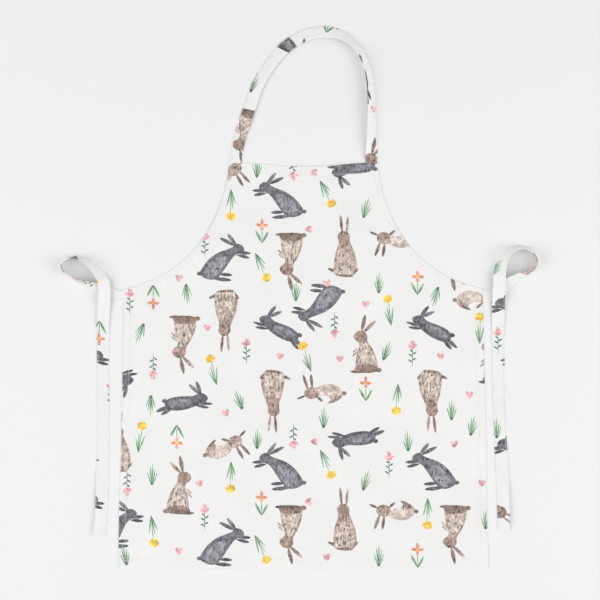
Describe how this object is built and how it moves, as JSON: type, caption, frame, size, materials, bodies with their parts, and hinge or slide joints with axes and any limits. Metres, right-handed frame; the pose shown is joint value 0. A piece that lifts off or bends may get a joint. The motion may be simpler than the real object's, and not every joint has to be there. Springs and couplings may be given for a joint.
{
  "type": "bib apron",
  "caption": "Bib apron of printed cotton with turned and stitched hems, a neck strap sewn to the bib corners and a waist tie at each side, laid out flat with the ties looped back.",
  "frame": {"origin": "on the panel's resting underside, at the middle of the waist line", "axes": "+Z out of the printed face, +Y towards the bib and neck strap, +X to the right as seen from the printed face"},
  "size_m": [0.9233, 1.0433, 0.0253],
  "materials": {
    "printed_cotton": "matt plain-weave cotton with a small scattered print of rabbits, flowers, grass and hearts on its face",
    "turned_cotton": "the same cotton turned under or laid under the edge, so that its plain reverse or printed face shows behind",
    "sewing_thread": "white polyester sewing thread with a slight sheen"
  },
  "bodies": {
    "panel": {"front_panel": "printed_cotton", "bottom_hem": "turned_cotton", "right_side_hem": "turned_cotton", "right_armhole_hem": "turned_cotton", "bib_top_hem": "turned_cotton", "left_armhole_hem": "turned_cotton", "left_side_hem": "turned_cotton", "neck_strap_left_end": "turned_cotton", "neck_strap_right_end": "turned_cotton", "left_tie_sewn_end": "turned_cotton", "right_tie_sewn_end": "turned_cotton", "bottom_stitching": "sewing_thread", "right_side_stitching": "sewing_thread", "right_armhole_stitching": "sewing_thread", "bib_top_stitching": "sewing_thread", "left_armhole_stitching": "sewing_thread", "left_side_stitching": "sewing_thread", "neck_left_box_stitching": "sewing_thread", "neck_right_box_stitching": "sewing_thread", "left_tie_box_stitching": "sewing_thread", "right_tie_box_stitching": "sewing_thread"},
    "neck_strap": {"neck_strap": "printed_cotton", "neck_strap_stitching": "sewing_thread"},
    "left_tie": {"left_tie": "printed_cotton", "left_tie_stitching": "sewing_thread"},
    "right_tie": {"right_tie": "printed_cotton", "right_tie_stitching": "sewing_thread"}
  },
  "joints": [
    {"name": "neck_strap_fold", "type": "hinge", "parent": "panel", "child": "neck_strap", "pos_m": [0, 0.242, 0.0026], "axis": [1, 0, 0], "range_deg": [0, 150]},
    {"name": "left_tie_fold", "type": "hinge", "parent": "panel", "child": "left_tie", "pos_m": [-0.3456, -0.015, 0.0026], "axis": [0, 1, 0], "range_deg": [0, 135]},
    {"name": "right_tie_fold", "type": "hinge", "parent": "panel", "child": "right_tie", "pos_m": [0.3456, -0.015, 0.0026], "axis": [0, -1, 0], "range_deg": [0, 135]}
  ]
}
